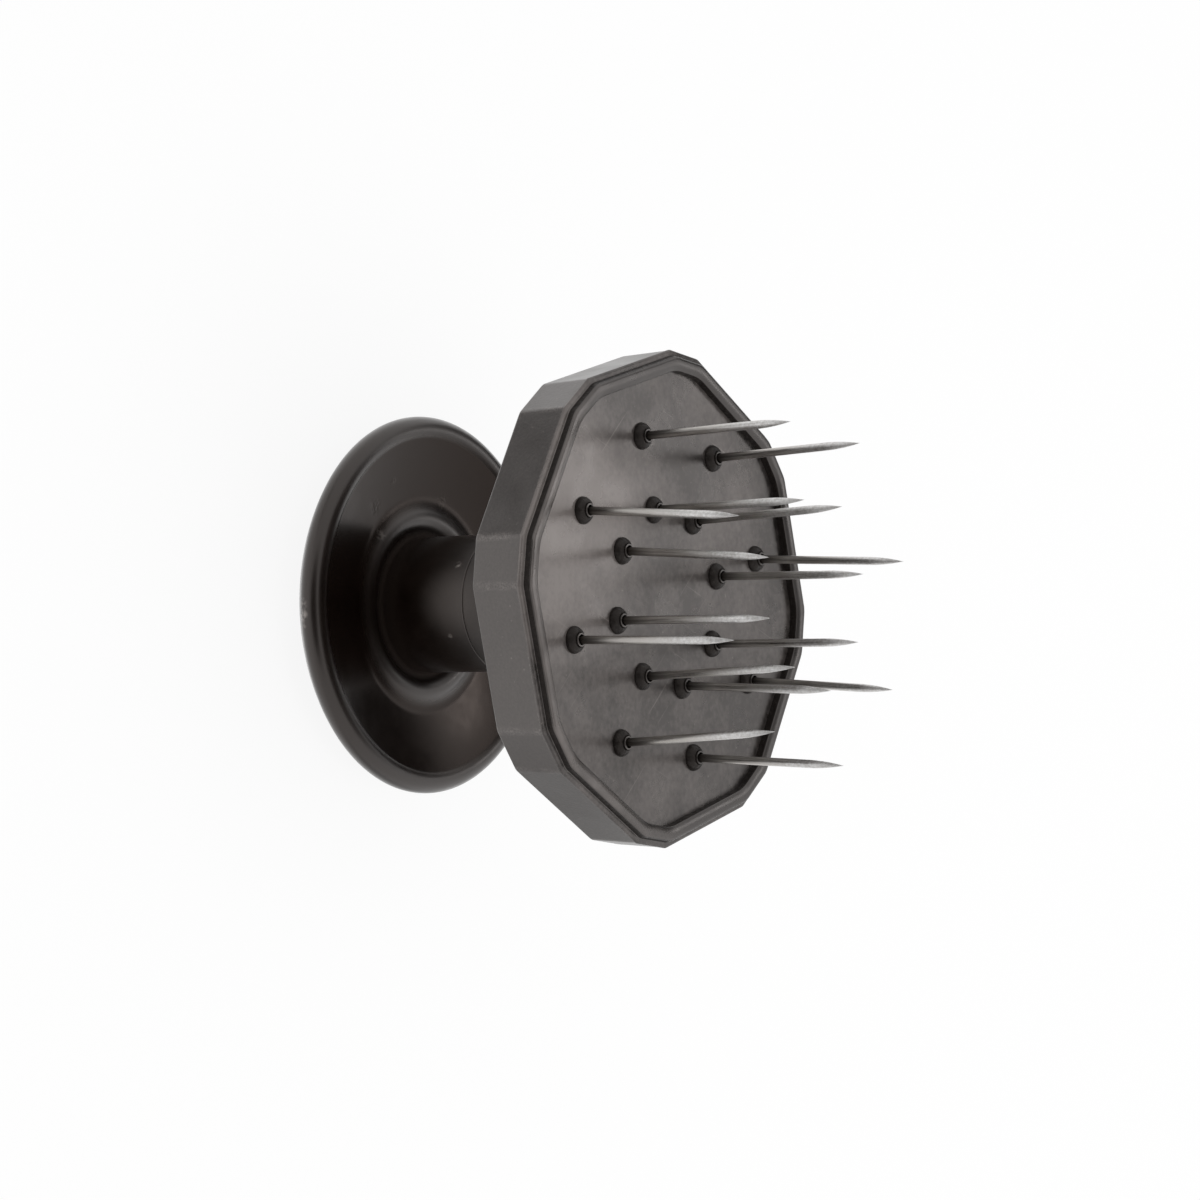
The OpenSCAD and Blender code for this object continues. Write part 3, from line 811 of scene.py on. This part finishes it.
def greased_abs():
    """ABS round the needles and in the lip: black with grease and grit, which break up its shine."""
    material, tree, place = start_material("greased_abs")
    grit = add(tree, "ShaderNodeTexNoise", {"Vector": place, "Scale": per_metre(0.9), "Detail": 5.0})
    colour = add(tree, "ShaderNodeMix", {
        "Factor": grit.outputs["Fac"], "A": linear("#020101"), "B": linear("#2a2522"),
    }, data_type="RGBA")
    gloss = add(tree, "ShaderNodeMapRange", {
        "Value": grit.outputs["Fac"], "From Min": 0.3, "From Max": 0.7, "To Min": 0.45, "To Max": 0.25,
    })
    bump = add(tree, "ShaderNodeBump", {
        "Height": grit.outputs["Fac"], "Strength": 0.8, "Distance": 0.25 * MM,
    })
    shader = add(tree, "ShaderNodeBsdfPrincipled", {
        "Base Color": colour.outputs["Result"], "Roughness": gloss.outputs["Result"], "IOR": 1.53,
        "Specular IOR Level": 0.25, "Specular Tint": linear("#fff6f2"),
        "Normal": bump.outputs["Normal"],
    })
    add(tree, "ShaderNodeOutputMaterial", {"Surface": shader.outputs["BSDF"]})
    return material


edge_r = 0.4
land_r = 0.6
inner_r = 0.25
step_r = 0.15
flange_foot_r = 0.06
slope_r = ((land_in - slope_end) ** 2 + (land_z - slope_end_z) ** 2) / (2 * (land_z - slope_end_z))
slope_turn = degrees(asin((land_in - slope_end) / slope_r))
slope_stop = slope_turn - 3
inner_drop = 0.556 * inner_r
plate_section = (
    [(skirt_in, plate_back_z), (skirt_in, skirt_z), (skirt_flat - skirt_lead, skirt_z)]
    + [(skirt_flat, skirt_z + skirt_lead), (skirt_flat, front_z)]
    + bend(flange_flat - flange_foot_r, front_z + flange_foot_r, flange_foot_r, -90, 0, 3)
    + bend(flange_flat - edge_r, flange_z - edge_r, edge_r, 0, 90)
    + bend(land_out + 2 * step_r, flange_z + step_r, step_r, -90, -180, 3)
    + bend(land_out - land_r, land_z - land_r, land_r, 0, 90, 8)
    + bend(land_in, land_z - slope_r, slope_r, 90, 90 + slope_stop, 6)
    + bend(slope_end + inner_r, slope_end_z - inner_drop, inner_r, 90 + slope_turn, 180, 6)
    + [(plate_flat, plate_z)]
)
plate_mesh = skin([head_ring(p) for p in plate_section], joined=False)
plate = new_piece("needle_plate", plate_mesh, handled_abs())

# Sections of a boss and of the hole through it, with heights from the plate's face
dome_r = 0.7 * boss_r
dome_start = 15
dome_end = 70
dome_foot = 0.2
dome_x = boss_r - dome_r * cos(radians(dome_start))
dome_y = dome_foot - dome_r * sin(radians(dome_start))
dome = bend(dome_x, dome_y, dome_r, dome_start, dome_end, 12)
dome_top_r, dome_top = dome[-1]
collar_r = hole_r + 0.3
groove_lead = 0.05
groove_z = dome_top - 0.2
boss_section = (
    [(0, -1), (boss_r, -1)] + dome
    + [(dome_top_r - groove_lead, groove_z), (collar_r, groove_z)]
    + [(collar_r - 0.04, boss_h - 0.06), (collar_r - 0.1, boss_h), (0, boss_h)]
)
boss_segments = 48
seat_back = plate_back_z - plate_z
seat_z = seat_back + counterbore_depth
seat_section = [
    (0, seat_back - 1), (counterbore_r, seat_back - 1), (counterbore_r, seat_z),
    (hole_r, seat_z), (hole_r, boss_h + 1), (0, boss_h + 1),
]


def at_needles(section):
    """Object with one turned copy of a section round each needle, square to the plate."""
    made = bmesh.new()
    for node in needle_names:
        foot, tip = needle_axis(node)
        place = foot.lerp(tip, (plate_z * MM - foot.z) / (tip.z - foot.z))
        single = lathe(section, boss_segments)
        bmesh.ops.translate(single, verts=single.verts, vec=place)
        copy = bpy.data.meshes.new("turned_copy")
        single.to_mesh(copy)
        single.free()
        made.from_mesh(copy)
        bpy.data.meshes.remove(copy)
    return new_object("turned_copies", made)


for section, operation in ((boss_section, "UNION"), (seat_section, "DIFFERENCE")):
    combine(plate, at_needles(section), operation)
# Grease and dirt stay on the bosses, but for the collar's top, and on the walls of the lip
plate.data.materials.append(greased_abs())
plate_top_z = plate_z + 0.05
collar_z = plate_z + boss_h - 0.08
bosses_end = slope_end - 2
steepness = 0.6
for face in plate.data.polygons:
    spot = face.center / MM
    on_boss = plate_top_z < spot.z <= collar_z and spot.xy.length < bosses_end
    on_wall = abs(face.normal.z) < steepness and flange_z < spot.z < slope_end_z
    face.material_index = 1 if on_boss or on_wall else 0
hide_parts("needle_carrier")

# Floor and light
# A sheet of white paper under the part, a broad soft lamp above it and a small one behind it, in a
# white room that is dark in three directions, which gives the plastic most of its black reflections;
# painted shade on the sheet darkens two more.
# Places and reaches on the sheet are in millimetres.
# Spots of painted shade on the sheet: place, reach and darkest tone
painted_shade_spots = [((-100, -45, 0), 45, 0.15), ((88, -25, 0), 65, 0.45)]
floor_half = 4000


def white_paper():
    """Matt white paper that shows white to the camera and keeps a soft shadow; in reflections it carries
    painted shade at two spots and a painted fall-off far out.
    """
    material, tree, place = start_material("white_paper")
    fibre = add(tree, "ShaderNodeTexNoise", {"Vector": place, "Scale": per_metre(2), "Detail": 3.0})
    tone = add(tree, "ShaderNodeMix", {
        "Factor": fibre.outputs["Fac"], "A": linear("#fbfbfb"), "B": linear("#ffffff"),
    }, data_type="RGBA")
    paper = add(tree, "ShaderNodeBsdfDiffuse", {"Color": tone.outputs["Result"]})
    ray = add(tree, "ShaderNodeLightPath")
    # Painted shade: in reflections the sheet is darkened at two spots beside the part, and painted dimmer
    # far out
    away = add(tree, "ShaderNodeVectorMath", {0: place}, operation="LENGTH")
    lit = add(tree, "ShaderNodeMapRange", {
        "Value": away.outputs["Value"], "From Min": 170 * MM, "From Max": 420 * MM,
        "To Min": 1.0, "To Max": 0.12,
    }).outputs["Result"]
    for spot, reach, dimmest in painted_shade_spots:
        away = add(tree, "ShaderNodeVectorMath", {0: place, 1: Vector(spot) * MM}, operation="DISTANCE")
        shade = add(tree, "ShaderNodeMapRange", {
            "Value": away.outputs["Value"], "From Min": 0.5 * reach * MM, "From Max": reach * MM,
            "To Min": dimmest, "To Max": 1.0,
        }, interpolation_type="SMOOTHSTEP")
        lit = add(tree, "ShaderNodeMath", {
            0: lit, 1: shade.outputs["Result"],
        }, operation="MULTIPLY").outputs["Value"]
    strength = add(tree, "ShaderNodeMapRange", {
        "Value": ray.outputs["Is Camera Ray"], "To Min": lit, "To Max": 1.0,
    })
    glow = add(tree, "ShaderNodeEmission", {
        "Color": linear("#ffffff"), "Strength": strength.outputs["Result"],
    })
    seen = add(tree, "ShaderNodeMath", {
        0: ray.outputs["Is Camera Ray"], 1: ray.outputs["Is Glossy Ray"],
    }, operation="MAXIMUM")
    seen = add(tree, "ShaderNodeMath", {
        0: seen.outputs["Value"], 1: ray.outputs["Is Transmission Ray"],
    }, operation="MAXIMUM")
    share = add(tree, "ShaderNodeMath", {0: seen.outputs["Value"], 1: 0.9}, operation="MULTIPLY")
    mixed = add(tree, "ShaderNodeMixShader", {
        "Fac": share.outputs["Value"], 1: paper.outputs["BSDF"], 2: glow.outputs["Emission"],
    })
    add(tree, "ShaderNodeOutputMaterial", {"Surface": mixed.outputs["Shader"]})
    return material


floor_mesh = bpy.data.meshes.new("floor")
floor_corners = [Vector((x, y, 0)) * floor_half * MM for x, y in ((-1, -1), (1, -1), (1, 1), (-1, 1))]
floor_mesh.from_pydata(floor_corners, [], [(0, 1, 2, 3)])
floor_mesh.materials.append(white_paper())
sheet = bpy.data.objects.new("floor", floor_mesh)
scene.collection.objects.link(sheet)

world = bpy.data.worlds.new("studio")
world.use_nodes = True
studio = world.node_tree
studio.nodes.clear()
ray = add(studio, "ShaderNodeLightPath")
mirrored = add(studio, "ShaderNodeMath", {
    0: ray.outputs["Is Glossy Ray"], 1: ray.outputs["Is Transmission Ray"],
}, operation="MAXIMUM")
# Each dark zone of the room: its direction, the cosines where it starts and is full, and its tones
dark_zones = [
    ((-0.186, -0.793, 0.58), 0.87, 0.94, 0.85, 0.02),
    ((-0.03, 0.94, 0.34), 0.95, 0.98, 1.0, 0.05),
    ((0.0, 0.3, 0.954), 0.93, 0.975, 1.0, 0.15),
]
direction = add(studio, "ShaderNodeTexCoord").outputs["Generated"]
room = 1.0
for way, start, full, outer_tone, inner_tone in dark_zones:
    towards = add(studio, "ShaderNodeVectorMath", {0: direction, 1: way}, operation="DOT_PRODUCT")
    zone = add(studio, "ShaderNodeMapRange", {
        "Value": towards.outputs["Value"], "From Min": start, "From Max": full,
        "To Min": outer_tone, "To Max": inner_tone,
    }, interpolation_type="SMOOTHSTEP")
    room = add(studio, "ShaderNodeMath", {
        0: room, 1: zone.outputs["Result"],
    }, operation="MULTIPLY").outputs["Value"]
level = add(studio, "ShaderNodeMapRange", {
    "Value": mirrored.outputs["Value"], "To Min": 0.65, "To Max": room,
})
level = add(studio, "ShaderNodeMath", {
    0: level.outputs["Result"], 1: ray.outputs["Is Camera Ray"],
}, operation="MAXIMUM")
sky = add(studio, "ShaderNodeBackground", {
    "Color": linear("#ffffff"), "Strength": level.outputs["Value"],
})
add(studio, "ShaderNodeOutputWorld", {"Surface": sky.outputs["Background"]})
scene.world = world

middle = Vector((0, 0, 45 * MM))


def soft_lamp(name, place, width, height, watts):
    """Soft lamp that faces the middle of the part. Its place and size are in metres."""
    lamp = bpy.data.lights.new(name, "AREA")
    lamp.shape = "RECTANGLE"
    lamp.size = width
    lamp.size_y = height
    lamp.energy = watts
    holder = bpy.data.objects.new(name, lamp)
    scene.collection.objects.link(holder)
    holder.location = place
    holder.rotation_euler = (holder.location - middle).to_track_quat("Z", "Y").to_euler()
    return holder


top_lamp = soft_lamp("top_lamp", (0.5, 0.3, 1.5), width=1.6, height=1.6, watts=10)
top_lamp.visible_glossy = False
soft_lamp("far_lamp", (0.028, 0.284, 0.305), width=0.08, height=0.06, watts=0.035)

# Camera
# The photograph's view: from the front and above, rolled so that the needles point right.
azimuth = radians(-13.19)
elevation = radians(35.47)
roll = radians(88.4)
distance = 650.25 * MM
lens = bpy.data.cameras.new("camera")
lens.lens = 114
lens.sensor_width = 36
camera = bpy.data.objects.new("camera", lens)
scene.collection.objects.link(camera)
back = Vector((sin(azimuth) * cos(elevation), -cos(azimuth) * cos(elevation), sin(elevation)))
camera.location = middle + back * distance
camera.rotation_mode = "QUATERNION"
upright = (-back).to_track_quat("-Z", "Y")
camera.rotation_quaternion = upright @ Matrix.Rotation(roll, 3, "Z").to_quaternion()
scene.camera = camera
scene.view_settings.view_transform = "Standard"
